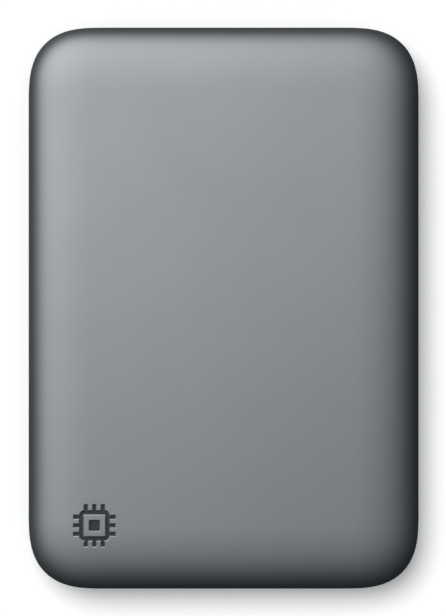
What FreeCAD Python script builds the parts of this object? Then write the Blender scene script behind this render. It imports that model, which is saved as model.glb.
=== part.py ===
"""Portable solid state drive: a pillow-shaped two-part case round a bridge board with a memory card.

Millimetres. X runs across the drive, Y along it towards the port end, Z up. The origin is the middle
of the flat underside. The case meets itself on a parting plane at mid height, where it is widest. The
board lies on that plane with the port under it, out of sight from above, and all else is stacked from there.
"""

import FreeCAD
import Part

import os

from FreeCAD import Vector

# Case outline, seen from above
case_width = 60.0
case_length = 86.3
corner_span = 12.0
corner_far = 6.55
corner_near = 3.55

# Rolled edges of the two covers
top_depth = 5.3
top_roll = 10.0
top_pull = (0.76, 0.86)
base_depth = 5.3
base_roll = 5.0
base_pull = (0.64, 0.64)
wall = 1.5

# Joint between the covers
seam_width = 0.25
seam_depth = 0.3
lip_thickness = 0.7
lip_height = 1.4
lip_gap = 0.1
snap_width = 5.0
snap_height = 0.45
snap_rise = 0.45
snap_bite = 0.5
snap_from_corner = 3.0

# Stiffening inside the covers
rib_thickness = 0.8
rib_pitch = 17.0
rib_height = 0.6
frame_height = 0.5

# Port
port_width = 8.94
port_height = 3.16
port_length = 7.35
port_sheet = 0.3
port_setback = 0.1
port_gap = 0.2
port_leg_width = 1.0
port_leg_recess = 0.1
port_leg_spots = (4.4, 6.6)
tongue_width = 6.69
tongue_thickness = 0.7
tongue_length = 4.45
tongue_setback = 0.6
insulator_gap = 0.02
port_pins = 12
port_pin_pitch = 0.5
port_pin_width = 0.25
port_pin_thickness = 0.05
port_pin_length = 3.6
port_tail_length = 0.9

# Status light
pipe_from_port = 4.0
pipe_radius = 0.8
pipe_flange_radius = 1.3
pipe_flange_length = 0.6
pipe_gap = 0.05
pipe_setback = 0.1
led_width = 2.4
led_depth = 1.2
led_below_lens = 0.6
led_lens_radius = 0.5
led_setback = 0.4
led_to_pipe = 0.2

# Bridge board and its fixings
board_thickness = 0.8
board_end_gap = 0.4
board_side_gap = 3.0
board_corner = 2.0
slot_gap = 0.1
boss_radius = 2.2
boss_from_edge = 3.2
pilot_floor = 2.0
screw_radius = 0.85
screw_gap = 0.03
screw_end_gap = 0.2
screw_head_radius = 1.6
screw_head_height = 0.8
board_hole_gap = 0.15
drive_recess_radius = 0.75
drive_recess_depth = 0.4

# Chips and small parts on the bridge board
chip_chamfer = 0.15
bridge_chip_side = 7.0
bridge_chip_height = 0.85
firmware_size = (4.0, 5.0, 0.75)
crystal_size = (3.2, 2.5, 0.7)
inductor_size = (4.0, 4.0, 1.8)
regulator_size = (3.0, 3.0, 0.75)
guard_size = (2.0, 1.0, 0.5)
capacitor_size = (1.6, 0.8, 0.8)
capacitor_pitch = 1.6
part_spacing = 1.2

# Memory card and its socket
card_width = 22.0
card_length = 42.0
card_thickness = 0.8
card_lift = 0.55
card_edge_width = 19.85
card_edge_length = 4.0
card_key_offset = 6.1
card_key_width = 1.2
card_key_depth = 3.5
card_notch_radius = 1.75
socket_width = 22.4
socket_depth = 8.7
socket_height = 2.3
socket_jaw_setback = 1.6
socket_gap = 0.1
contact_pitch = 0.5
contact_width = 0.3
contact_film = 0.03
contact_length = 2.0
socket_tail_length = 1.0
socket_tail_thickness = 0.15
standoff_radius = 2.2
standoff_from_edge = 5.0
card_screw_radius = 1.0
card_screw_gap = 0.03
card_screw_head_radius = 2.3
card_screw_head_height = 0.7

# Chips on the memory card
card_chip_height = 0.9
controller_side = 9.0
flash_width = 11.5
flash_to_screw = 2.7
card_chip_spacing = 1.0
power_chip_size = (3.0, 3.0, 0.75)
card_capacitor_size = (1.0, 0.5, 0.5)

# Heat path from the card to the top cover
spreader_thickness = 0.3
spreader_margin = 2.5
spreader_corner = 1.5
spreader_fit = 0.3
tape_thickness = 0.1
tape_margin = 0.7
pad_margin = 0.4

# Levels and places worked out from the sizes above
parting_z = base_depth
case_height = base_depth + top_depth
floor_z = wall
ceiling_z = case_height - wall
lip_inset = wall - lip_thickness
rebate_inset = lip_inset - lip_gap
rim_z = parting_z - seam_width
board_bottom = parting_z
board_top = board_bottom + board_thickness
port_z = board_bottom - port_height / 2
port_low = port_z - port_height / 2
pipe_z = port_z
card_bottom = board_top + card_lift
card_top = card_bottom + card_thickness
card_chip_top = card_top + card_chip_height
tape_bottom = ceiling_z - tape_thickness
spreader_bottom = tape_bottom - spreader_thickness


def rolled_inset(inset, roll, pull, height, rise):
    """How far in from the case's side a rolled wall of this height stands, at rise from its rim."""
    rim_pull, crown_pull = pull
    along = 0.5
    step = 0.25
    for halving in range(40):
        risen = 3 * rim_pull * along * (1 - along) ** 2 + 3 * along ** 2 * (1 - along) + along ** 3
        along += step if risen * height < rise else -step
        step /= 2
    return inset + (roll - inset) * (3 * (1 - crown_pull) * along ** 2 * (1 - along) + along ** 3)


def outside_at(z):
    """Distance from the middle of the drive to the outside of the base cover's end wall, at height z."""
    return case_length / 2 - rolled_inset(0, base_roll, base_pull, rim_z, rim_z - z)


def inside_at(z):
    """Distance from the middle of the drive to the inside of the base cover's end wall, at height z."""
    return case_length / 2 - rolled_inset(wall, base_roll, base_pull, parting_z - floor_z, parting_z - z)


board_level_inset = rolled_inset(wall, top_roll, top_pull, ceiling_z - parting_z, board_top - parting_z)
board_half_width = case_width / 2 - board_level_inset - board_side_gap
board_front = case_length / 2 - board_level_inset - board_end_gap
board_rear = -board_front
boss_x = board_half_width - boss_from_edge
boss_y = board_front - boss_from_edge
boss_spots = [(boss_x, boss_y), (-boss_x, boss_y), (-boss_x, -boss_y), (boss_x, -boss_y)]
port_mouth = outside_at(port_low) - port_setback
port_back = port_mouth - port_length
tongue_front = port_mouth - tongue_setback
pipe_x = port_width / 2 + pipe_from_port
pipe_flange_front = inside_at(pipe_z - pipe_flange_radius) - pipe_gap
pipe_flange_back = pipe_flange_front - pipe_flange_length
led_front = min(board_front - led_setback, pipe_flange_back - led_to_pipe - led_lens_radius)
standoff_y = board_rear + standoff_from_edge
card_end = standoff_y + card_length
socket_front = card_end - card_edge_length
socket_back = socket_front + socket_depth
bridge_chip_y = (port_back + socket_back) / 2
controller_y = socket_front - card_chip_spacing - controller_side / 2
flash_front = controller_y - controller_side / 2 - card_chip_spacing
flash_rear = standoff_y + card_screw_head_radius + flash_to_screw
flash_length = (flash_front - flash_rear - card_chip_spacing) / 2
first_flash_y = flash_front - flash_length / 2
second_flash_y = first_flash_y - flash_length - card_chip_spacing
chips_front = controller_y + controller_side / 2
chips_rear = flash_rear
chips_half_width = max(controller_side, flash_width) / 2


# Shared shapes


def outline_poles(inset, z):
    """Control points of the case's plan outline at height z, drawn in by inset: a corner, a side and so on.

    Each corner bends with no jump in curvature where it leaves the sides. A drawn-in outline has the same
    straight sides and the same corners made smaller.
    """
    half_x = case_width / 2 - inset
    half_y = case_length / 2 - inset
    shrink = (corner_span - inset) / corner_span
    back = [shrink * distance for distance in (corner_span, corner_far, corner_near)]
    corners = []
    for side_x, side_y in ((1, 1), (-1, 1), (-1, -1), (1, -1)):
        poles = [Vector(side_x * half_x, side_y * (half_y - distance), z) for distance in back]
        poles += [Vector(side_x * (half_x - distance), side_y * half_y, z) for distance in reversed(back)]
        if side_x != side_y:
            poles.reverse()
        corners.append(poles)
    stretches = []
    for number, poles in enumerate(corners):
        next_corner = corners[(number + 1) % len(corners)]
        stretches += [poles, [poles[-1], next_corner[0]]]
    return stretches


def bend(poles):
    """Smooth edge drawn by its control points, straight when there are only two."""
    if len(poles) == 2:
        return Part.LineSegment(*poles).toShape()
    curve = Part.BezierCurve()
    curve.setPoles(poles)
    return curve.toShape()


def outline(inset, z):
    """Closed wire of the plan outline."""
    return Part.Wire([bend(poles) for poles in outline_poles(inset, z)])


def slab(inset, bottom, top):
    """Upright prism of the case outline drawn in by inset."""
    return Part.Face(outline(inset, bottom)).extrude(Vector(0, 0, top - bottom))


def rolled_face(rows):
    """Smooth face drawn by rows of control points, straight along the rows when they hold only two."""
    surface = Part.BezierSurface()
    surface.increase(len(rows) - 1, len(rows[0]) - 1)
    for level, row in enumerate(rows, 1):
        for place, pole in enumerate(row, 1):
            surface.setPole(level, place, pole)
    return surface.toShape()


def halves(levels):
    """Control levels of the lower and the upper half of a rolled edge."""
    lower = levels[:1]
    upper = levels[-1:]
    while len(levels) > 1:
        levels = [((a + c) / 2, (b + d) / 2) for (a, b), (c, d) in zip(levels, levels[1:])]
        lower = lower + levels[:1]
        upper = levels[-1:] + upper
    return lower, upper


def half_pillow(inset, roll, pull, rim, crown):
    """Solid from the outline at height rim to a flat crown, with an edge that leaves both smoothly.

    The two pulls say how long the edge follows the upright at the rim, and the flat at the crown. The edge
    is laid in four strips of the one curve, which needs fewer facets than a single face.
    """
    rim_pull, crown_pull = pull
    levels = [
        (inset, rim),
        (inset, rim + rim_pull * (crown - rim)),
        (roll - crown_pull * (roll - inset), crown),
        (roll, crown),
    ]
    faces = [Part.Face(outline(inset, rim)), Part.Face(outline(roll, crown))]
    for half in halves(levels):
        for strip in halves(half):
            layers = [outline_poles(drawn_in, z) for drawn_in, z in strip]
            faces += [rolled_face(rows) for rows in zip(*layers)]
    shell = Part.Shell(faces)
    shell.sewShape()
    solid = Part.Solid(shell)
    if solid.Volume < 0:
        solid.reverse()
    return solid


def block(size, x, y, z):
    """Box of size (width, length, height), centred on x and y and standing on z."""
    width, length, height = size
    return Part.makeBox(width, length, height, Vector(x - width / 2, y - length / 2, z))


def span(low_x, high_x, low_y, high_y, low_z, high_z):
    """Box between two corners."""
    return Part.makeBox(high_x - low_x, high_y - low_y, high_z - low_z, Vector(low_x, low_y, low_z))


def rod(radius, x, y, bottom, top):
    """Upright cylinder."""
    return Part.makeCylinder(radius, top - bottom, Vector(x, y, bottom))


def top_edges(shape):
    """Edges that lie in the highest plane of a shape."""
    high = shape.BoundBox.ZMax
    return [e for e in shape.Edges if all(abs(v.Z - high) < 1e-6 for v in e.Vertexes)]


def chip(size, x, y, z):
    """Moulded chip package with a chamfered top."""
    body = block(size, x, y, z)
    return body.makeChamfer(chip_chamfer, top_edges(body))


def plate(low_x, high_x, low_y, high_y, bottom, thickness, corner):
    """Flat plate with rounded corners."""
    body = span(low_x, high_x, low_y, high_y, bottom, bottom + thickness)
    upright = [e for e in body.Edges if abs(e.Vertexes[0].Z - e.Vertexes[1].Z) > thickness / 2]
    return body.makeFillet(corner, upright)


def racetrack(width, height, y):
    """Closed wire with round ends in an upright plane across the port, centred on it."""
    radius = height / 2
    straight = width / 2 - radius
    right = Vector(straight, y, port_z)
    left = Vector(-straight, y, port_z)
    up = Vector(0, 0, radius)
    out = Vector(radius, 0, 0)
    edges = [
        Part.LineSegment(right - up, left - up).toShape(),
        Part.Arc(left - up, left - out, left + up).toShape(),
        Part.LineSegment(left + up, right + up).toShape(),
        Part.Arc(right + up, right + out, right - up).toShape(),
    ]
    return Part.Wire(edges)


def pipe_rod(radius, front, back):
    """Cylinder along Y, in line with the light pipe."""
    return Part.makeCylinder(radius, front - back, Vector(pipe_x, front, pipe_z), Vector(0, -1, 0))


def pan_screw(x, y, seat, end, radius, head_radius, head_height):
    """Round-headed screw with its head on seat and its tip at end, and a recess for the driver."""
    shank = rod(radius, x, y, end, seat)
    head = rod(head_radius, x, y, seat, seat + head_height)
    head = head.makeChamfer(head_height / 3, top_edges(head))
    recess_floor = seat + head_height - drive_recess_depth
    recess = rod(drive_recess_radius, x, y, recess_floor, seat + head_height)
    return shank.fuse(head).cut(recess).removeSplitter()


# Case


def port_way():
    """The port's way through the end wall. It just reaches the top cover's rim, which closes it."""
    mouth = racetrack(port_width + 2 * port_gap, port_height + 2 * port_gap, case_length / 2 + wall)
    return Part.Face(mouth).extrude(Vector(0, port_back - case_length / 2 - wall, 0))


def port_zone(margin):
    """Stretch of the port end that has no lip, so that the wall round the port keeps its full thickness."""
    half = port_width / 2 + port_gap + wall + margin
    return span(-half, half, case_length / 2 - 2 * wall, case_length / 2 + wall, parting_z, case_height)


def at_snaps(make):
    """One shape from make(distance of the side from the middle) at each snap, turned to its side."""
    long_side = case_length / 2 - corner_span - snap_from_corner
    short_side = case_width / 2 - corner_span - snap_from_corner
    spots = [(case_width / 2, along, turn) for turn in (0, 180) for along in (-long_side, 0, long_side)]
    spots += [(case_length / 2, along, -90) for along in (-short_side, short_side)]
    shapes = []
    for distance, along, turn in spots:
        shape = make(distance)
        shape.translate(Vector(0, along, 0))
        shape.rotate(Vector(0, 0, 0), Vector(0, 0, 1), turn)
        shapes.append(shape)
    return shapes


def snap_bump(distance):
    """Wedge on the top cover's wall that the lip rides over and then drops behind."""
    wall_face = distance - rebate_inset
    low = parting_z + snap_rise
    high = low + snap_height
    tip = wall_face - lip_gap - snap_bite
    root = wall_face + lip_gap
    points = [(root, low), (wall_face, low), (tip, high), (root, high)]
    corners = [Vector(x, -snap_width / 2, z) for x, z in points]
    profile = Part.makePolygon(corners + corners[:1])
    return Part.Face(profile).extrude(Vector(0, snap_width, 0))


def snap_window(distance):
    """Window in the base cover's lip that a bump drops into."""
    low = parting_z + snap_rise - lip_gap
    high = parting_z + snap_rise + snap_height + lip_gap
    half = snap_width / 2 + lip_gap
    return span(distance - 2 * wall, distance - lip_inset + lip_gap, -half, half, low, high)


def spreader_frame():
    """Low ribs on the ceiling that locate the heat spreader."""
    low_x, high_x, low_y, high_y = spreader_reach(spreader_fit)
    bottom = ceiling_z - frame_height
    outer = span(low_x - rib_thickness, high_x + rib_thickness, low_y - rib_thickness,
                 high_y + rib_thickness, bottom, ceiling_z + wall / 2)
    return outer.cut(span(low_x, high_x, low_y, high_y, bottom, ceiling_z + wall / 2))


def top_cover():
    skin = half_pillow(0, top_roll, top_pull, parting_z, case_height)
    shell = skin.cut(half_pillow(wall, top_roll, top_pull, parting_z, ceiling_z))
    rebate = slab(rebate_inset, parting_z, parting_z + lip_height + lip_gap).cut(port_zone(0))
    shell = shell.cut(rebate).fuse(at_snaps(snap_bump) + [spreader_frame()])
    return shell.cut(port_way()).removeSplitter()


def floor_ribs():
    """Low stiffening ribs across and along the floor."""
    reach_x = boss_x
    reach_y = boss_y
    top = floor_z + rib_height
    root = floor_z - wall / 2
    half = rib_thickness / 2
    count = int(reach_y // rib_pitch)
    across = [
        span(-reach_x, reach_x, row * rib_pitch - half, row * rib_pitch + half, root, top)
        for row in range(-count, count + 1)
    ]
    along = [
        span(x - half, x + half, -reach_y, reach_y, root, top)
        for x in (-reach_x, reach_x)
    ]
    return across + along


def base_cover():
    skin = half_pillow(0, base_roll, base_pull, rim_z, 0).fuse(slab(seam_depth, rim_z, parting_z))
    shell = skin.cut(half_pillow(wall, base_roll, base_pull, parting_z, floor_z))
    lip_top = parting_z + lip_height
    lip = slab(lip_inset, parting_z, lip_top).cut(slab(wall, parting_z, lip_top))
    lip = lip.cut([port_zone(lip_gap)] + at_snaps(snap_window))
    bosses = [rod(boss_radius, x, y, floor_z - wall / 2, board_bottom) for x, y in boss_spots]
    pilots = [rod(screw_radius + screw_gap, x, y, pilot_floor, board_bottom) for x, y in boss_spots]
    shell = shell.fuse([lip] + bosses + floor_ribs())
    pipe_way = pipe_rod(pipe_radius + pipe_gap, case_length / 2 + wall, pipe_flange_back)
    return shell.cut(pilots + [port_way(), pipe_way]).removeSplitter()


def light_pipe():
    """Clear peg pressed into the end wall from inside, from the light on the board to the outside."""
    front = outside_at(pipe_z - pipe_radius) - pipe_setback
    peg = pipe_rod(pipe_radius, front, led_front + led_lens_radius + led_to_pipe)
    return peg.fuse(pipe_rod(pipe_flange_radius, pipe_flange_front, pipe_flange_back)).removeSplitter()


# Bridge board and what is soldered to it


def port_legs(grow):
    """The shell's four legs, from its middle up through the board, grown by grow for their slots."""
    high = board_top - port_leg_recess + grow
    legs = []
    for spot in port_leg_spots:
        y = port_mouth - spot
        for side in (1, -1):
            x = side * (port_width - port_sheet) / 2
            size = (port_sheet + 2 * grow, port_leg_width + 2 * grow, high - port_z)
            legs.append(block(size, x, y, port_z))
    return legs


def usb_port_shell():
    outer = racetrack(port_width, port_height, port_mouth)
    inner = racetrack(port_width - 2 * port_sheet, port_height - 2 * port_sheet, port_mouth)
    sleeve = Part.Face(outer).cut(Part.Face(inner)).extrude(Vector(0, -port_length, 0))
    bore = Part.Face(inner).extrude(Vector(0, -port_length, 0))
    return sleeve.fuse(port_legs(0)).cut(bore).removeSplitter()


def usb_port_tongue():
    fill = 2 * (port_sheet + insulator_gap)
    plug = Part.Face(racetrack(port_width - fill, port_height - fill, port_back))
    plug = plug.extrude(Vector(0, tongue_front - tongue_length - port_back, 0))
    low = port_z - tongue_thickness / 2
    tongue = span(-tongue_width / 2, tongue_width / 2, port_back, tongue_front, low, low + tongue_thickness)
    return plug.fuse(tongue).removeSplitter()


def spread(count, pitch):
    """Evenly spaced positions about zero."""
    return [(number - (count - 1) / 2) * pitch for number in range(count)]


def usb_port_contacts():
    strip = (port_pin_width, port_pin_length, port_pin_thickness)
    tail = (port_pin_width, port_tail_length, port_pin_thickness)
    strip_y = tongue_front - tongue_length / 2
    above = port_z + tongue_thickness / 2
    below = port_z - tongue_thickness / 2 - port_pin_thickness
    contacts = []
    for x in spread(port_pins, port_pin_pitch):
        contacts += [block(strip, x, strip_y, above), block(strip, x, strip_y, below)]
        contacts.append(block(tail, x, port_back - port_tail_length / 2, board_bottom - port_pin_thickness))
    return Part.makeCompound(contacts)


def bridge_board():
    board = plate(-board_half_width, board_half_width, board_rear, board_front,
                  board_bottom, board_thickness, board_corner)
    board = board.common(slab(board_level_inset + board_end_gap, board_bottom, board_top))
    holes = [rod(screw_radius + board_hole_gap, x, y, board_bottom, board_top) for x, y in boss_spots]
    return board.cut(holes + port_legs(slot_gap))


def board_screws():
    tip = pilot_floor + screw_end_gap
    return Part.makeCompound([
        pan_screw(x, y, board_top, tip, screw_radius, screw_head_radius, screw_head_height)
        for x, y in boss_spots
    ])


def status_led():
    """Light on the board's underside that faces the light pipe."""
    low = pipe_z - led_below_lens
    body = block((led_width, led_depth, board_bottom - low), pipe_x, led_front - led_depth / 2, low)
    lens = Part.makeSphere(led_lens_radius, Vector(pipe_x, led_front, pipe_z))
    return body.fuse(lens).removeSplitter()


def bridge_chip():
    return chip((bridge_chip_side, bridge_chip_side, bridge_chip_height), 0, bridge_chip_y, board_top)


firmware_x = bridge_chip_side / 2 + part_spacing + firmware_size[0] / 2
crystal_x = -bridge_chip_side / 2 - part_spacing - crystal_size[0] / 2
inductor_x = firmware_x + firmware_size[0] / 2 + part_spacing + inductor_size[0] / 2
regulator_y = socket_front - part_spacing
regulator_x = socket_width / 2 + part_spacing + regulator_size[0] / 2


def firmware_chip():
    return chip(firmware_size, firmware_x, bridge_chip_y, board_top)


def clock_crystal():
    can = block(crystal_size, crystal_x, bridge_chip_y, board_top)
    return can.makeFillet(chip_chamfer, top_edges(can))


def power_inductors():
    return Part.makeCompound([
        chip(inductor_size, side * inductor_x, bridge_chip_y, board_top) for side in (1, -1)
    ])


def power_regulators():
    return Part.makeCompound([
        chip(regulator_size, side * regulator_x, regulator_y, board_top) for side in (1, -1)
    ])


def surge_guards():
    """Small surge-protection arrays beside the back of the port."""
    x = port_width / 2 + part_spacing + guard_size[0] / 2
    return Part.makeCompound([
        block(guard_size, side * x, port_back, board_top) for side in (1, -1)
    ])


def board_capacitors():
    """A column of capacitors behind each regulator, and a pair beside each inductor."""
    first_y = regulator_y - regulator_size[1] / 2 - part_spacing
    column = [(side * regulator_x, first_y - row * capacitor_pitch) for side in (1, -1) for row in range(4)]
    pair_y = inductor_size[1] / 2 + part_spacing
    pairs = [(side * inductor_x, bridge_chip_y + end * pair_y) for side in (1, -1) for end in (1, -1)]
    return Part.makeCompound([block(capacitor_size, x, y, board_top) for x, y in column + pairs])


# Memory card, its socket and its fixing


def card_socket():
    body = block((socket_width, socket_depth, socket_height), 0, socket_front + socket_depth / 2, board_top)
    half_slot = card_edge_width / 2 + socket_gap
    slot_low = card_bottom - socket_gap
    slot_high = card_top + socket_gap
    slot_back = card_end + socket_gap
    slot = span(-half_slot, half_slot, socket_front, slot_back, slot_low, slot_high)
    half_key = card_key_width / 2 - socket_gap
    key = span(card_key_offset - half_key, card_key_offset + half_key,
               card_end - card_key_depth + socket_gap, slot_back, slot_low, slot_high)
    jaw_front = socket_front + socket_jaw_setback
    jaw_relief = span(-half_slot, half_slot, socket_front, jaw_front, slot_high, board_top + socket_height)
    return body.cut([slot.cut(key), jaw_relief]).removeSplitter()


def contact_columns():
    """Positions of the card's contacts across its edge, leaving out those at the key."""
    count = int((card_edge_width - 2 * contact_width) // contact_pitch)
    clear = card_key_width / 2 + contact_width
    return [x for x in spread(count, contact_pitch) if abs(x - card_key_offset) > clear]


def socket_contacts():
    tail = (contact_width, socket_tail_length, socket_tail_thickness)
    rows = (socket_back + socket_tail_length / 2, socket_front - socket_tail_length / 2)
    return Part.makeCompound([block(tail, x, y, board_top) for y in rows for x in contact_columns()])


def card_board():
    shoulder = card_end - card_edge_length
    body = span(-card_width / 2, card_width / 2, standoff_y, shoulder, card_bottom, card_top)
    edge = span(-card_edge_width / 2, card_edge_width / 2, shoulder, card_end, card_bottom, card_top)
    key = span(card_key_offset - card_key_width / 2, card_key_offset + card_key_width / 2,
               card_end - card_key_depth, card_end, card_bottom, card_top)
    notch = rod(card_notch_radius, 0, standoff_y, card_bottom, card_top)
    return body.fuse(edge).cut([key, notch]).removeSplitter()


def card_contacts():
    strip = (contact_width, contact_length, contact_film)
    y = card_end - contact_length / 2
    return Part.makeCompound([
        block(strip, x, y, z) for z in (card_top, card_bottom - contact_film) for x in contact_columns()
    ])


def card_standoff():
    post = rod(standoff_radius, 0, standoff_y, board_top, card_bottom)
    return post.cut(rod(card_screw_radius + card_screw_gap, 0, standoff_y, board_top, card_bottom))


def card_screw():
    tip = board_top + screw_end_gap
    return pan_screw(0, standoff_y, card_top, tip, card_screw_radius,
                     card_screw_head_radius, card_screw_head_height)


def card_controller():
    return chip((controller_side, controller_side, card_chip_height), 0, controller_y, card_top)


def flash_chip(y):
    return chip((flash_width, flash_length, card_chip_height), 0, y, card_top)


power_chip_x = controller_side / 2 + card_chip_spacing + power_chip_size[0] / 2


def card_power_chip():
    return chip(power_chip_size, power_chip_x, controller_y, card_top)


def card_capacitors():
    """Rows of capacitors along both edges of the card, beside the flash chips."""
    x = flash_width / 2 + card_chip_spacing + card_capacitor_size[0] / 2
    rows = [y + shift for y in (first_flash_y, second_flash_y) for shift in spread(4, capacitor_pitch)]
    return Part.makeCompound([
        block(card_capacitor_size, side * x, y, card_top) for side in (1, -1) for y in rows
    ])


# Heat path to the top cover


def spreader_reach(margin):
    """Low x, high x, low y, high y of the heat spreader, grown by margin."""
    grow = spreader_margin + margin
    return (-chips_half_width - grow, chips_half_width + grow, chips_rear - grow, chips_front + grow)


def thermal_pad():
    return span(-chips_half_width + pad_margin, chips_half_width - pad_margin,
                chips_rear + pad_margin, chips_front - pad_margin, card_chip_top, spreader_bottom)


def heat_spreader():
    return plate(*spreader_reach(0), spreader_bottom, spreader_thickness, spreader_corner)


def spreader_tape():
    return plate(*spreader_reach(-tape_margin), tape_bottom, tape_thickness, spreader_corner)


pieces = {
    "top_cover": top_cover(),
    "base_cover": base_cover(),
    "light_pipe": light_pipe(),
    "usb_port_shell": usb_port_shell(),
    "usb_port_tongue": usb_port_tongue(),
    "usb_port_contacts": usb_port_contacts(),
    "bridge_board": bridge_board(),
    "board_screws": board_screws(),
    "status_led": status_led(),
    "bridge_chip": bridge_chip(),
    "firmware_chip": firmware_chip(),
    "clock_crystal": clock_crystal(),
    "power_inductors": power_inductors(),
    "power_regulators": power_regulators(),
    "surge_guards": surge_guards(),
    "board_capacitors": board_capacitors(),
    "card_socket": card_socket(),
    "socket_contacts": socket_contacts(),
    "card_board": card_board(),
    "card_contacts": card_contacts(),
    "card_standoff": card_standoff(),
    "card_screw": card_screw(),
    "card_controller": card_controller(),
    "flash_chip_1": flash_chip(first_flash_y),
    "flash_chip_2": flash_chip(second_flash_y),
    "card_power_chip": card_power_chip(),
    "card_capacitors": card_capacitors(),
    "thermal_pad": thermal_pad(),
    "heat_spreader": heat_spreader(),
    "spreader_tape": spreader_tape(),
}

os.makedirs("parts", exist_ok=True)
for name, shape in pieces.items():
    shape.exportStep(os.path.join("parts", name + ".step"))
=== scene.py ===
"""Portable solid state drive, seen from straight above on a pale floor."""

import math

import bmesh
import bpy
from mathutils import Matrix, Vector
from mathutils.geometry import tessellate_polygon


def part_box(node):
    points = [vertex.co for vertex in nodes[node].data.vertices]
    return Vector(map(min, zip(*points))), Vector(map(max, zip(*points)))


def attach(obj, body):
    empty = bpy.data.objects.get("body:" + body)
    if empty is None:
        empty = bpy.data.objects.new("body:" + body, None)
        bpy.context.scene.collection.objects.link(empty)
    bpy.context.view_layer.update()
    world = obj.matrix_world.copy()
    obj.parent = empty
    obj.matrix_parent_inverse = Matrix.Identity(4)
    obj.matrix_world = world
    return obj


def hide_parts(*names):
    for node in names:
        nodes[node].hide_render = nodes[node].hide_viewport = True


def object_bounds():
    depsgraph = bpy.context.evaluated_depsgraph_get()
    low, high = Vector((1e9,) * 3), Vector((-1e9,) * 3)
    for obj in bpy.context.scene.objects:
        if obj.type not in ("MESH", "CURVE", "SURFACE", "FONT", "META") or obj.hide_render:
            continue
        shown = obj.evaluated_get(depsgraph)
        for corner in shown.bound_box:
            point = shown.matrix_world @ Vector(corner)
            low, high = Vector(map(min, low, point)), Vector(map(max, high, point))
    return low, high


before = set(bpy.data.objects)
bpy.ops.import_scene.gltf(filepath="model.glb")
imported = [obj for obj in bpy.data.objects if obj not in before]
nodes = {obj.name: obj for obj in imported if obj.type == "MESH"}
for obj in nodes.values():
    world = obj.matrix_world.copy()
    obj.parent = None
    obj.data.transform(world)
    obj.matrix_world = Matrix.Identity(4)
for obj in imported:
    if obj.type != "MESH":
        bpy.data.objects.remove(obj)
cad_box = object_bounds()

# Base cover
# The lower half of the case, moulded in dark grey plastic with a fine spark-eroded grain.
# It carries the board on four bosses, and its lip snaps into the top cover.

noise_middle = (0.3, 0.7)
grains_in_drift = 40
plastic_roughness_play = 0.06


def start_material(name):
    """New node material; gives back the material, its node tree and its main shader."""
    material = bpy.data.materials.new(name)
    material.use_nodes = True
    tree = material.node_tree
    return material, tree, tree.nodes["Principled BSDF"]


def noise_on_piece(tree, size, detail=3.0):
    """Noise fixed to the piece, with blotches of about size metres, or of a size along each axis."""
    place = tree.nodes.new("ShaderNodeTexCoord")
    stretch = tree.nodes.new("ShaderNodeMapping")
    along = size if isinstance(size, tuple) else (size, size, size)
    stretch.inputs["Scale"].default_value = [1 / length for length in along]
    noise = tree.nodes.new("ShaderNodeTexNoise")
    noise.inputs["Scale"].default_value = 1.0
    noise.inputs["Detail"].default_value = detail
    tree.links.new(place.outputs["Object"], stretch.inputs["Vector"])
    tree.links.new(stretch.outputs["Vector"], noise.inputs["Vector"])
    return noise.outputs["Fac"]


def vary(tree, shader, socket, factor, low, high):
    """Lets a shader input run from low to high as factor runs over the middle of its range."""
    ramp = tree.nodes.new("ShaderNodeValToRGB")
    for stop, position, value in zip(ramp.color_ramp.elements, noise_middle, (low, high)):
        stop.position = position
        stop.color = (*value, 1) if isinstance(value, tuple) else (value, value, value, 1)
    tree.links.new(factor, ramp.inputs["Fac"])
    tree.links.new(ramp.outputs["Color"], shader.inputs[socket])


def add_relief(tree, shader, height, depth):
    """Fine relief in the surface, depth metres from low to high."""
    bump = tree.nodes.new("ShaderNodeBump")
    bump.inputs["Distance"].default_value = depth
    tree.links.new(height, bump.inputs["Height"])
    tree.links.new(bump.outputs["Normal"], shader.inputs["Normal"])


def moulded_plastic(name, dark, light, roughness, grain, depth):
    """Plastic with a fine grain in its surface and a faint drift of colour."""
    material, tree, shader = start_material(name)
    drift = noise_on_piece(tree, grains_in_drift * grain)
    vary(tree, shader, "Base Color", drift, dark, light)
    grit = noise_on_piece(tree, grain, detail=2.0)
    vary(tree, shader, "Roughness", grit,
         low=roughness - plastic_roughness_play, high=roughness + plastic_roughness_play)
    add_relief(tree, shader, grit, depth)
    return material


def dress(node, material):
    """Puts a material on a piece of the frame."""
    for slot in nodes[node].material_slots:
        slot.material = material


dress("base_cover", moulded_plastic("base_plastic",
                                    dark=(0.030, 0.032, 0.034), light=(0.036, 0.038, 0.041),
                                    roughness=0.55, grain=0.00025, depth=0.00002))

# Light pipe
# A milky clear peg, moulded in one shot, that leads the status light to the outside.
# It is pressed into the end wall of the base cover from inside.

haze_size = 0.0006
material, tree, shader = start_material("milky_clear_plastic")
shader.inputs["Transmission Weight"].default_value = 0.6
shader.inputs["IOR"].default_value = 1.49
haze = noise_on_piece(tree, haze_size)
vary(tree, shader, "Base Color", haze, low=(0.78, 0.80, 0.81), high=(0.88, 0.90, 0.91))
vary(tree, shader, "Roughness", haze, low=0.28, high=0.42)
dress("light_pipe", material)

# Bridge board
# A board of glass cloth and epoxy under dark green solder mask, milled out of a larger panel.
# It rests on the four bosses. The port and the status light are on its underside, all else on top.

mask_dark = (0.010, 0.052, 0.026, 1)
mask_light = (0.012, 0.060, 0.030, 1)
mask_over_copper = (0.020, 0.096, 0.050, 1)
mask_mottle = 0.0004
hole_plating = (0.55, 0.42, 0.16)
# Near-black painted shade that stands in for the dark depth of each hole; the holes are not cut in the
# board.
painted_hole_shade = (0.01, 0.01, 0.01)
bare_laminate = (0.42, 0.36, 0.20)
plating_share = 0.065
hole_share = 0.032
track_share = 0.125
copper_height = 0.00002
edge_steepness = 0.5


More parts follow.
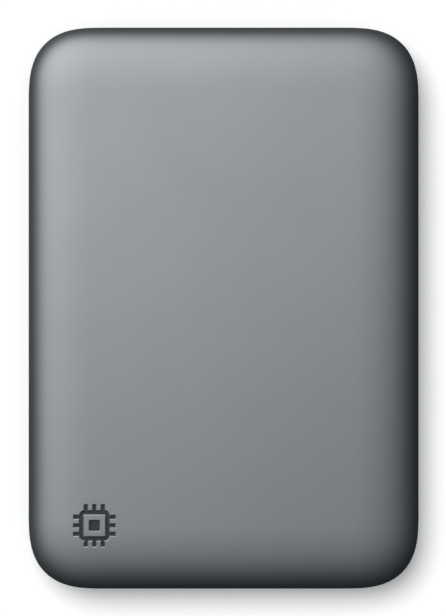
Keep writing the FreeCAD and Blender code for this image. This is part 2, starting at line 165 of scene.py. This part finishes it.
def mix_over(tree, factor, under, over):
    """Colour that turns from under to over where factor is one; each is a colour or a node's output."""
    mix = tree.nodes.new("ShaderNodeMix")
    mix.data_type = "RGBA"
    sockets = {socket.identifier: socket for socket in (*mix.inputs, *mix.outputs)}
    tree.links.new(factor, sockets["Factor_Float"])
    for entry, colour in ((sockets["A_Color"], under), (sockets["B_Color"], over)):
        if isinstance(colour, tuple):
            entry.default_value = (*colour, 1)
        else:
            tree.links.new(colour, entry)
    return sockets["Result_Color"]


def where_under(tree, value, limit):
    """One where value is under limit, and nought elsewhere."""
    test = tree.nodes.new("ShaderNodeMath")
    test.operation = "LESS_THAN"
    test.inputs[1].default_value = limit
    tree.links.new(value, test.inputs[0])
    return test.outputs["Value"]


def circuit_board(name, track_length, track_spacing, hole_spacing):
    """Green mask over raised copper tracks, plated rings with painted shade in their middles for holes
    that are not cut, and bare laminate on the milled edges.
    """
    material, tree, shader = start_material(name)
    place = tree.nodes.new("ShaderNodeTexCoord")
    tracks = tree.nodes.new("ShaderNodeTexBrick")
    tracks.inputs["Color1"].default_value = mask_dark
    tracks.inputs["Color2"].default_value = mask_light
    tracks.inputs["Mortar"].default_value = mask_over_copper
    tracks.inputs["Scale"].default_value = 1.0
    tracks.inputs["Mortar Size"].default_value = track_share * track_spacing
    tracks.inputs["Brick Width"].default_value = track_length
    tracks.inputs["Row Height"].default_value = track_spacing
    tree.links.new(place.outputs["Object"], tracks.inputs["Vector"])
    holes = tree.nodes.new("ShaderNodeTexVoronoi")
    holes.voronoi_dimensions = "2D"
    holes.inputs["Scale"].default_value = 1 / hole_spacing
    tree.links.new(place.outputs["Object"], holes.inputs["Vector"])
    ring = where_under(tree, holes.outputs["Distance"], plating_share)
    # The middle of each plated ring is painted near black, as painted shade for the depth of a hole.
    hole = where_under(tree, holes.outputs["Distance"], hole_share)
    plated = mix_over(tree, ring, tracks.outputs["Color"], hole_plating)
    with_painted_hole_shade = mix_over(tree, hole, plated, painted_hole_shade)
    direction = tree.nodes.new("ShaderNodeSeparateXYZ")
    tree.links.new(place.outputs["Normal"], direction.inputs["Vector"])
    flatness = tree.nodes.new("ShaderNodeMath")
    flatness.operation = "ABSOLUTE"
    tree.links.new(direction.outputs["Z"], flatness.inputs[0])
    edge = where_under(tree, flatness.outputs["Value"], edge_steepness)
    tree.links.new(mix_over(tree, edge, with_painted_hole_shade, bare_laminate), shader.inputs["Base Color"])
    vary(tree, shader, "Roughness", noise_on_piece(tree, mask_mottle), low=0.32, high=0.46)
    add_relief(tree, shader, tracks.outputs["Fac"], copper_height)
    return material


dress("bridge_board", circuit_board("bridge_laminate", track_length=0.0052, track_spacing=0.0008,
                                    hole_spacing=0.0048))

# Port
# A shell folded from stainless sheet round a black resin tongue with gold-plated contacts on both faces.
# Its legs are soldered into slots in the board, and its mouth lies just inside the base cover's end wall.

metal_roughness_play = 0.05


def bare_metal(name, dark, light, roughness, streak, depth):
    """Metal with the fine lines of its making. streak gives their size along each axis."""
    material, tree, shader = start_material(name)
    shader.inputs["Metallic"].default_value = 1.0
    lines = noise_on_piece(tree, streak, detail=2.0)
    vary(tree, shader, "Base Color", lines, dark, light)
    vary(tree, shader, "Roughness", lines,
         low=roughness - metal_roughness_play, high=roughness + metal_roughness_play)
    add_relief(tree, shader, lines, depth)
    return material


dress("usb_port_shell", bare_metal("stamped_stainless", dark=(0.62, 0.62, 0.61), light=(0.70, 0.70, 0.69),
                                   roughness=0.5, streak=(0.00006, 0.002, 0.00006), depth=0.000002))
black_resin = moulded_plastic("black_resin", dark=(0.010, 0.010, 0.011), light=(0.016, 0.016, 0.017),
                              roughness=0.48, grain=0.0001, depth=0.000004)
dress("usb_port_tongue", black_resin)
gold_plate = bare_metal("gold_plate", dark=(0.80, 0.56, 0.22), light=(0.90, 0.67, 0.30),
                        roughness=0.25, streak=(0.00003, 0.0006, 0.00003), depth=0.000001)
dress("usb_port_contacts", gold_plate)

# Status light
# A side-facing light in a white resin body, with a yellowish lens over its die.
# It is soldered to the underside of the board, in line with the light pipe.

resin_cloud_size = 0.0005
material, tree, shader = start_material("led_resin")
shader.inputs["Subsurface Weight"].default_value = 0.3
shader.inputs["Subsurface Radius"].default_value = (0.0004, 0.0003, 0.0002)
cloud = noise_on_piece(tree, resin_cloud_size)
vary(tree, shader, "Base Color", cloud, low=(0.78, 0.74, 0.58), high=(0.84, 0.83, 0.78))
vary(tree, shader, "Roughness", cloud, low=0.3, high=0.42)
dress("status_led", material)

# Chips on the bridge board
# The bridge chip, the small memory with its program, two regulators and two surge guards.
# Each is moulded in black epoxy. The first two have a lasered dot by their first pin.

epoxy_dark = (0.011, 0.011, 0.012)
epoxy_light = (0.019, 0.019, 0.020)
epoxy_grit_size = 0.00008
epoxy_grit_depth = 0.000006
epoxy_drift_size = 0.0015
dot_colour = (0.16, 0.16, 0.155)
dot_inset_share = 0.16
dot_radius_share = 0.06


def moulded_epoxy(name, node, dotted):
    """Black epoxy with a fine matt grain and, where asked, a dot in the corner of the piece's top."""
    material, tree, shader = start_material(name)
    grit = noise_on_piece(tree, epoxy_grit_size, detail=4.0)
    vary(tree, shader, "Roughness", grit, low=0.5, high=0.68)
    add_relief(tree, shader, grit, epoxy_grit_depth)
    vary(tree, shader, "Base Color", noise_on_piece(tree, epoxy_drift_size), epoxy_dark, epoxy_light)
    if dotted:
        low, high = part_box(node)
        side = min(high.x - low.x, high.y - low.y)
        inset = dot_inset_share * side
        place = tree.nodes.new("ShaderNodeTexCoord")
        apart = tree.nodes.new("ShaderNodeVectorMath")
        apart.operation = "DISTANCE"
        apart.inputs[1].default_value = (low.x + inset, high.y - inset, high.z)
        tree.links.new(place.outputs["Object"], apart.inputs[0])
        dot = where_under(tree, apart.outputs["Value"], dot_radius_share * side)
        body = shader.inputs["Base Color"].links[0].from_socket
        tree.links.new(mix_over(tree, dot, body, dot_colour), shader.inputs["Base Color"])
    return material


for node in ("bridge_chip", "firmware_chip"):
    dress(node, moulded_epoxy(node + "_epoxy", node, dotted=True))
for node in ("power_regulators", "surge_guards"):
    dress(node, moulded_epoxy(node + "_epoxy", node, dotted=False))

# Clock crystal
# A drawn can, nickel plated and seam welded to its ceramic base.
# It is soldered beside the bridge chip.

dress("clock_crystal", bare_metal("plated_can", dark=(0.60, 0.58, 0.54), light=(0.68, 0.66, 0.62),
                                  roughness=0.3, streak=(0.0002, 0.0002, 0.0002), depth=0.000002))

# Inductors
# Two coils pressed solid in grey iron powder, which leaves a coarse stony grain.
# They are soldered to the board on either side of the chips.

powder_grain_size = 0.00012
powder_grain_depth = 0.00002
material, tree, shader = start_material("iron_powder")
grains = noise_on_piece(tree, powder_grain_size, detail=5.0)
vary(tree, shader, "Base Color", grains, low=(0.055, 0.056, 0.058), high=(0.105, 0.107, 0.110))
vary(tree, shader, "Roughness", grains, low=0.62, high=0.82)
add_relief(tree, shader, grains, powder_grain_depth)
dress("power_inductors", material)

# Capacitors on the bridge board
# Ceramic blocks with tinned ends that each wrap over five faces.
# The ends are soldered to the board in rows behind the regulators and beside the inductors.

weld_gap = 1e-6
tan_ceramic = moulded_plastic("tan_ceramic", dark=(0.30, 0.20, 0.125), light=(0.36, 0.25, 0.16),
                              roughness=0.4, grain=0.00006, depth=0.000003)
dull_tin = bare_metal("dull_tin", dark=(0.56, 0.56, 0.55), light=(0.66, 0.66, 0.65),
                      roughness=0.42, streak=(0.00015, 0.00015, 0.00015), depth=0.000004)
capacitor_finishes = [tan_ceramic, dull_tin]
rounding_steps = 2


def blocks_of(node):
    """Low and high corners of the separate blocks that a piece of the frame is made of."""
    form = bmesh.new()
    form.from_mesh(nodes[node].data)
    bmesh.ops.remove_doubles(form, verts=form.verts, dist=weld_gap)
    waiting = set(form.verts)
    blocks = []
    for first in form.verts:
        if first not in waiting:
            continue
        waiting.remove(first)
        group = [first]
        for vert in group:
            near = {edge.other_vert(vert) for edge in vert.link_edges} & waiting
            waiting -= near
            group.extend(near)
        corners = list(zip(*(vert.co for vert in group)))
        blocks.append((Vector(map(min, corners)), Vector(map(max, corners))))
    form.free()
    return blocks


def add_block(form, low, high, finish):
    """Adds a box between two corners, in one of the capacitors' finishes, to a mesh in the making."""
    places = [(x, y, z) for z in (low.z, high.z) for y in (low.y, high.y) for x in (low.x, high.x)]
    corners = [form.verts.new(place) for place in places]
    for side in ((0, 2, 3, 1), (4, 5, 7, 6), (0, 1, 5, 4), (2, 6, 7, 3), (0, 4, 6, 2), (1, 3, 7, 5)):
        face = form.faces.new([corners[number] for number in side])
        face.material_index = capacitor_finishes.index(finish)


def tinned_capacitors(node, end_share, body_setback, rounding):
    """Stands for a node of plain blocks: each gets a ceramic body and two rounded tinned ends."""
    form = bmesh.new()
    for low, high in blocks_of(node):
        end = Vector((end_share * (high.x - low.x), 0, 0))
        body_low = low + end + Vector((0, body_setback, 0))
        body_high = high - end - Vector((0, body_setback, body_setback))
        add_block(form, low, Vector((low.x + end.x, high.y, high.z)), dull_tin)
        add_block(form, Vector((high.x - end.x, low.y, low.z)), high, dull_tin)
        add_block(form, body_low, body_high, tan_ceramic)
    mesh = bpy.data.meshes.new(node + "_tinned")
    form.to_mesh(mesh)
    form.free()
    piece = bpy.data.objects.new(node + "_tinned", mesh)
    bpy.context.collection.objects.link(piece)
    for finish in capacitor_finishes:
        mesh.materials.append(finish)
    bevel = piece.modifiers.new("rounding", "BEVEL")
    bevel.width = rounding
    bevel.segments = rounding_steps
    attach(piece, "root")
    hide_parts(node)


tinned_capacitors("board_capacitors", end_share=0.24, body_setback=0.00003, rounding=0.00006)

# Card socket
# A long black resin block with a slot for the card's edge and a key that only lets it in one way up.
# A row of gold-plated tails along its front and its back is soldered to the board.

dress("card_socket", black_resin)
dress("socket_contacts", gold_plate)

# Standoff
# A short post turned from brass and threaded through.
# It is soldered to the board and holds the free end of the card level.

dress("card_standoff", bare_metal("turned_brass", dark=(0.66, 0.50, 0.20), light=(0.76, 0.60, 0.28),
                                  roughness=0.28, streak=(0.004, 0.004, 0.00004), depth=0.000003))

# Memory card
# A narrow board of its own, with gold-plated contacts on both faces of its edge.
# The edge goes into the socket, and a notch in the other end rests on the standoff.

dress("card_board", circuit_board("card_laminate", track_length=0.0037, track_spacing=0.0006,
                                  hole_spacing=0.0036))
dress("card_contacts", gold_plate)

# Chips on the memory card
# The controller, two flash memories that hold the data, and a power chip.
# They are moulded in black epoxy as those on the bridge board are, with a dot by the first pin.

for node in ("card_controller", "flash_chip_1", "flash_chip_2", "card_power_chip"):
    dress(node, moulded_epoxy(node + "_epoxy", node, dotted=True))

# Capacitors on the memory card
# Smaller blocks of the same kind as those on the bridge board.
# They stand in two rows beside the flash memories.

tinned_capacitors("card_capacitors", end_share=0.25, body_setback=0.00002, rounding=0.00004)

# Screws
# Cold-headed steel screws with rolled threads and six-lobed recesses, zinc plated and faintly bluish.
# One holds the card down on its standoff, and four hold the board to the base cover's bosses.

recess_radius = 0.00075
recess_lobes = 6
recess_lobe_depth = 0.00016
recess_depth = 0.0004
head_chamfer_share = 1 / 3
ring_corners = 48
rings_per_turn = 6
tip_turns = 1
neck_turns = 0.5
zinc_plate = bare_metal("zinc_plate", dark=(0.52, 0.54, 0.57), light=(0.64, 0.66, 0.68),
                        roughness=0.34, streak=(0.0004, 0.0004, 0.00005), depth=0.000003)


def ring_of(form, axis, height, outline):
    """Closed row of points round an axis. outline gives their distance from it at a share of a turn."""
    row = []
    for corner in range(ring_corners):
        share = corner / ring_corners
        angle = 2 * math.pi * share
        away = outline(share)
        place = (axis.x + away * math.cos(angle), axis.y + away * math.sin(angle), height)
        row.append(form.verts.new(place))
    return row


def round_outline(radius):
    """Outline of a plain round."""
    return lambda share: radius


def thread_outline(turns, fade, radius, depth):
    """Outline across a thread, so many turns above its tip. At a fade of nought only the core is left."""
    return lambda share: radius - depth * (1 - fade * (1 - abs(2 * ((turns - share) % 1) - 1)))


def recess_outline(share):
    """Outline of the recess's lobed wall."""
    return recess_radius - recess_lobe_depth * (1 - math.cos(2 * math.pi * recess_lobes * share)) / 2


def threaded_screws(node, seat, shank_radius, pitch, thread_depth):
    """Stands for a node of plain screws: each gets a thread and a recess within the plain one's form."""
    form = bmesh.new()
    for low, high in blocks_of(node):
        axis = (low + high) / 2
        length = seat - low.z
        head_radius = (high.x - low.x) / 2
        chamfer = head_chamfer_share * (high.z - seat)
        steps = round(length / pitch * rings_per_turn)
        levels = []
        for step in range(steps + 1):
            rise = length * step / steps
            fade = min(1, step / rings_per_turn / tip_turns, (steps - step) / rings_per_turn / neck_turns)
            levels.append((low.z + rise, thread_outline(rise / pitch, fade, shank_radius, thread_depth)))
        levels += [
            (seat, round_outline(head_radius)),
            (high.z - chamfer, round_outline(head_radius)),
            (high.z, round_outline(head_radius - chamfer)),
            (high.z, recess_outline),
            (high.z - recess_depth, recess_outline),
        ]
        rings = [ring_of(form, axis, height, outline) for height, outline in levels]
        for under, over in zip(rings, rings[1:]):
            for here in range(ring_corners):
                form.faces.new((under[here - 1], under[here], over[here], over[here - 1]))
        form.faces.new(reversed(rings[0]))
        form.faces.new(rings[-1])
    mesh = bpy.data.meshes.new(node + "_threaded")
    form.to_mesh(mesh)
    form.free()
    mesh.materials.append(zinc_plate)
    piece = bpy.data.objects.new(node + "_threaded", mesh)
    bpy.context.collection.objects.link(piece)
    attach(piece, "root")
    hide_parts(node)


threaded_screws("card_screw", seat=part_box("card_board")[1].z, shank_radius=0.001,
                pitch=0.0004, thread_depth=0.0002)
threaded_screws("board_screws", seat=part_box("bridge_board")[1].z, shank_radius=0.00085,
                pitch=0.0006, thread_depth=0.0002)

# Thermal pad
# A soft sheet of silicone filled with ceramic powder, cut to size.
# It is squeezed between the card's chips and the heat spreader.

filler_size = 0.0002
filler_relief = 0.00002
material, tree, shader = start_material("filled_silicone")
filler = noise_on_piece(tree, filler_size, detail=5.0)
vary(tree, shader, "Base Color", filler, low=(0.22, 0.27, 0.32), high=(0.29, 0.35, 0.41))
vary(tree, shader, "Roughness", filler, low=0.66, high=0.84)
add_relief(tree, shader, filler, filler_relief)
dress("thermal_pad", material)

# Heat spreader
# A plate punched from rolled aluminium sheet, with the rolling lines along it.
# Black double-sided film holds it to the ceiling of the top cover, inside a low frame of ribs.

dress("heat_spreader", bare_metal("rolled_aluminium", dark=(0.74, 0.75, 0.76), light=(0.83, 0.84, 0.85),
                                  roughness=0.32, streak=(0.00008, 0.006, 0.00008), depth=0.000003))
dress("spreader_tape", moulded_plastic("black_film",
                                       dark=(0.014, 0.014, 0.015), light=(0.020, 0.020, 0.021),
                                       roughness=0.36, grain=0.0003, depth=0.000004))

# Top cover
# The upper half of the case, a smooth pillow-shaped moulding in satin metallic grey paint under lacquer.
# It snaps down over the base cover's lip, and a sign of a chip is sunk in one corner and filled in dark.

flakes_in_cloud = 60
paint_roughness_play = 0.01


def satin_paint(name, dark, light, roughness, flake, depth, lacquer, lacquer_roughness):
    """Metallic paint: fine flakes that vary in colour and tilt, under a thin satin lacquer."""
    material, tree, shader = start_material(name)
    shader.inputs["Metallic"].default_value = 1.0
    shader.inputs["Coat Weight"].default_value = lacquer
    shader.inputs["Coat Roughness"].default_value = lacquer_roughness
    speckle = noise_on_piece(tree, flake, detail=2.0)
    vary(tree, shader, "Base Color", speckle, dark, light)
    cloud = noise_on_piece(tree, flakes_in_cloud * flake)
    vary(tree, shader, "Roughness", cloud,
         low=roughness - paint_roughness_play, high=roughness + paint_roughness_play)
    add_relief(tree, shader, speckle, depth)
    return material


grey_paint = satin_paint("satin_grey_paint", dark=(0.392, 0.42, 0.442), light=(0.402, 0.43, 0.452),
                         roughness=0.596, flake=0.0002, depth=0.000004,
                         lacquer=0.217, lacquer_roughness=0.468)
sign_ink = moulded_plastic("sign_ink", dark=(0.039, 0.044, 0.049), light=(0.046, 0.051, 0.057),
                           roughness=0.6, grain=0.00015, depth=0.000004)
sign_finishes = [grey_paint, sign_ink]
sign_x = -0.0197
sign_y = -0.0332
sign_half = 0.0023
sign_corner = 0.0008
sign_line = 0.0006
sign_core_half = 0.0008
sign_legs = (-0.0013, 0.0, 0.0013)
sign_leg_width = 0.00055
sign_leg_length = 0.0009
sign_depth = 0.0003
sign_chamfer_width = 0.00012
sign_chamfer_drop = 0.00005
corner_steps = 6


def sign_loop(half, corner, legs=(), leg_width=0, leg_tip=0):
    """Rounded square about the sign's middle, with legs on its four sides where there are any."""
    quarter = []
    for leg in legs:
        low, high = leg - leg_width / 2, leg + leg_width / 2
        quarter += [(half, low), (leg_tip, low), (leg_tip, high), (half, high)]
    for step in range(corner_steps + 1):
        angle = math.pi / 2 * step / corner_steps
        quarter.append((half - corner * (1 - math.cos(angle)), half - corner * (1 - math.sin(angle))))
    loop = []
    for turn in range(4):
        loop += quarter
        quarter = [(-y, x) for x, y in quarter]
    return loop


def sign_loops(grow):
    """The sign's body with its legs, the inside of the body, and its core, all lines grown by grow."""
    inside = sign_half - sign_line - grow
    return [
        sign_loop(sign_half + grow, sign_corner + grow, sign_legs,
                  sign_leg_width + 2 * grow, sign_half + sign_leg_length + grow),
        sign_loop(inside, sign_corner - sign_line),
        sign_loop(sign_core_half + grow, sign_corner - sign_line + grow),
    ]


def crown_height(x, y):
    """Height of the top cover's outside over a place."""
    return nodes["top_cover"].ray_cast(Vector((x, y, 2 * cad_box[1][2])), Vector((0, 0, -1)))[1].z


def sign_cutter():
    """Solid that takes the sign out of the cover: a flared chamfer over a straight wall, even in depth."""
    form = bmesh.new()
    levels = [(2 * sign_chamfer_width, sign_chamfer_drop), (0, -sign_chamfer_drop), (0, -sign_depth)]
    layers = []
    for grow, rise in levels:
        layer = []
        for loop in sign_loops(grow):
            places = [(sign_x + x, sign_y + y) for x, y in loop]
            layer.append([form.verts.new((x, y, crown_height(x, y) + rise)) for x, y in places])
        layers.append(layer)
    for upper, lower, finish in zip(layers, layers[1:], sign_finishes):
        for top, bottom in zip(upper, lower):
            for here in range(len(top)):
                face = form.faces.new((top[here - 1], top[here], bottom[here], bottom[here - 1]))
                face.material_index = sign_finishes.index(finish)
    for layer in (layers[0], layers[-1]):
        for loops in (layer[:2], layer[2:]):
            flat = [vert for loop in loops for vert in loop]
            for corners in tessellate_polygon([[vert.co for vert in loop] for loop in loops]):
                face = form.faces.new([flat[corner] for corner in corners])
                face.material_index = sign_finishes.index(sign_ink)
    bmesh.ops.recalc_face_normals(form, faces=form.faces)
    mesh = bpy.data.meshes.new("sign_cutter")
    form.to_mesh(mesh)
    form.free()
    return bpy.data.objects.new("sign_cutter", mesh)


case_half_width = cad_box[1][0]
case_half_length = cad_box[1][1]
parting_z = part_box("top_cover")[0].z
roll_depth = cad_box[1][2] - parting_z
roll_width = 0.010
rim_pull = 0.76
crown_pull = 0.86
corner_span = 0.012
corner_far = 0.00655
corner_near = 0.00355
curve_halvings = 24
roll_curve = [
    Vector((0, 0)),
    Vector((0, rim_pull * roll_depth)),
    Vector((roll_width - crown_pull * roll_width, roll_depth)),
    Vector((roll_width, roll_depth)),
]
corner_pulls = (corner_span, corner_far, corner_near)
corner_curve = [Vector((corner_span, corner_span - pull)) for pull in corner_pulls]
corner_curve += [Vector((pole.y, pole.x)) for pole in reversed(corner_curve)]


def on_curve(poles, reached):
    """Point and direction on a curve drawn by its control points, where reached(point) first holds."""
    along, step = 0.5, 0.25
    for halving in range(curve_halvings):
        line = poles
        while len(line) > 2:
            line = [a.lerp(b, along) for a, b in zip(line, line[1:])]
        point = line[0].lerp(line[1], along)
        along += -step if reached(point) else step
        step /= 2
    return point, line[1] - line[0]


def facing(place):
    """Direction that the cover's rolled outside faces at a place on it."""
    away_x = abs(place.x) - case_half_width + corner_span
    away_y = abs(place.y) - case_half_length + corner_span
    plan = Vector((1, 0)) if away_x > away_y else Vector((0, 1))
    inset = corner_span - max(away_x, away_y)
    # In a corner, each level is the outline's corner shrunk towards its centre.
    if min(away_x, away_y) > 0:
        edge, run = on_curve(corner_curve, lambda point: point.y * away_x > point.x * away_y)
        plan = Vector((run.y, -run.x))
        plan *= corner_span / plan.dot(edge)
        inset = corner_span - corner_span * Vector((away_x, away_y)).length / edge.length
    # Inset and height both grow all the way up the roll, so their sum finds the place on it.
    reach = inset + place.z - parting_z
    inward, up = on_curve(roll_curve, lambda point: point.x + point.y > reach)[1]
    along_x = math.copysign(up * plan.x, place.x)
    along_y = math.copysign(up * plan.y, place.y)
    return Vector((along_x, along_y, inward)).normalized()


cover_weld_gap = 1e-7
rolled_agreement = 0.98
dress("top_cover", grey_paint)
bpy.context.view_layer.update()

# The sign is cut out of a welded copy of the cover, which carries the cover's own smooth shading.
cover_mesh = nodes["top_cover"].data.copy()
cover_mesh.name = "marked_top_cover"
smooth = cover_mesh.attributes.new("smooth", "FLOAT_VECTOR", "CORNER")
smooth.data.foreach_set("vector", [part for normal in cover_mesh.corner_normals for part in normal.vector])
form = bmesh.new()
form.from_mesh(cover_mesh)
bmesh.ops.remove_doubles(form, verts=form.verts, dist=cover_weld_gap)
form.to_mesh(cover_mesh)
form.free()
cover = bpy.data.objects.new("marked_top_cover", cover_mesh)
cutter = sign_cutter()
for finish in sign_finishes:
    cutter.data.materials.append(finish)
bpy.context.collection.objects.link(cover)
bpy.context.collection.objects.link(cutter)
sink = cover.modifiers.new("sink_sign", "BOOLEAN")
sink.operation = "DIFFERENCE"
sink.solver = "EXACT"
sink.material_mode = "TRANSFER"
sink.object = cutter
cut_mesh = bpy.data.meshes.new_from_object(cover.evaluated_get(bpy.context.evaluated_depsgraph_get()))
cover.modifiers.clear()
cover.data = cut_mesh
bpy.data.objects.remove(cutter)

# Facets of the meshed roll would show in the paint, so the outside is shaded by the roll's exact curve.
true_facing = [facing(vertex.co) for vertex in cut_mesh.vertices]
corner_facing = []
for corner, meshed in zip(cut_mesh.loops, cut_mesh.attributes["smooth"].data):
    true = true_facing[corner.vertex_index]
    corner_facing.append(true if true.dot(meshed.vector) > rolled_agreement else meshed.vector)
cut_mesh.normals_split_custom_set(corner_facing)
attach(cover, "root")
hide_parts("top_cover")

# Floor
# A plain pale sheet of matt white acrylic that the drive lies on.
# It is lit faintly from below, so that the shadow beside the drive stays light.

floor_side = 8.0
floor_glow = 0.151
floor_drop = 0.00002
mottle_size = 0.02
bpy.ops.mesh.primitive_plane_add(size=floor_side, location=(0, 0, cad_box[0][2] - floor_drop))
floor = bpy.context.object
floor.name = "floor"
material, tree, shader = start_material("pale_floor")
shader.inputs["Specular IOR Level"].default_value = 0.0
shader.inputs["Emission Color"].default_value = (1, 1, 1, 1)
shader.inputs["Emission Strength"].default_value = floor_glow
mottle = noise_on_piece(tree, mottle_size)
vary(tree, shader, "Base Color", mottle, low=(0.895, 0.895, 0.895), high=(0.905, 0.905, 0.905))
vary(tree, shader, "Roughness", mottle, low=0.88, high=0.92)
floor.data.materials.append(material)
floor.visible_glossy = False

# Light
# One large soft box close to the drive at its upper left, and a faint even surround.
# The floor has lights of its own, one from the same side and a wide one above, for a soft shadow.

softbox_width = 0.369
softbox_height = 0.3514
softbox_place = Vector((-0.1113, 0.1350, 0.2675))
softbox_power = 0.989
softbox_colour = (1.0, 0.974, 0.957)
surround_strength = 0.0358
surround_colour = (0.669, 0.896, 1.0, 1)
floor_lights = [
    ("floor_light", Vector((-0.25, 0.336, 1.0)), math.radians(37.8), 2.29),
    ("floor_fill", Vector((0.0, 0.0, 1.0)), math.radians(140.6), 1.014),
]
lamp = bpy.data.lights.new("softbox", "AREA")
lamp.shape = "RECTANGLE"
lamp.size = softbox_width
lamp.size_y = softbox_height
lamp.energy = softbox_power
lamp.color = softbox_colour
softbox = bpy.data.objects.new("softbox", lamp)
bpy.context.collection.objects.link(softbox)
softbox.location = softbox_place
softbox.rotation_euler = softbox_place.to_track_quat("Z", "Y").to_euler()
softbox.visible_camera = False

softbox_shade = bpy.data.collections.new("not_lit_by_softbox")
softbox_shade.objects.link(floor)
softbox_shade.collection_objects[0].light_linking.link_state = "EXCLUDE"
softbox.light_linking.receiver_collection = softbox_shade

lit_floor = bpy.data.collections.new("lit_by_floor_lights")
lit_floor.objects.link(floor)
for name, towards, spread, power in floor_lights:
    floor_lamp = bpy.data.lights.new(name, "SUN")
    floor_lamp.angle = spread
    floor_lamp.energy = power
    floor_light = bpy.data.objects.new(name, floor_lamp)
    bpy.context.collection.objects.link(floor_light)
    floor_light.rotation_euler = towards.to_track_quat("Z", "Y").to_euler()
    floor_light.light_linking.receiver_collection = lit_floor

surround = bpy.data.worlds.new("surround")
surround.use_nodes = True
surround.node_tree.nodes["Background"].inputs["Color"].default_value = surround_colour
surround.node_tree.nodes["Background"].inputs["Strength"].default_value = surround_strength
bpy.context.scene.world = surround

# Camera
# A long lens straight above the drive, so that its rolled edges show alike all round.
# The drive's place and length in the picture are in pixels, and set the lens and its shift.

image_width = 446
image_height = 616
drive_centre_x = 223.61
drive_centre_y = 308.11
drive_length_in_image = 560.5
camera_height = 0.6
sensor_side = 36
widest_z = cad_box[1][2] / 2
metres_per_pixel = (cad_box[1][1] - cad_box[0][1]) / drive_length_in_image
view = bpy.data.cameras.new("camera")
view.sensor_width = sensor_side
view.lens = sensor_side * (camera_height - widest_z) / (image_height * metres_per_pixel)
view.shift_x = -(drive_centre_x - image_width / 2) / image_height
view.shift_y = (drive_centre_y - image_height / 2) / image_height
camera = bpy.data.objects.new("camera", view)
bpy.context.collection.objects.link(camera)
camera.location = (0, 0, camera_height)
bpy.context.scene.camera = camera
bpy.context.scene.view_settings.view_transform = "Standard"
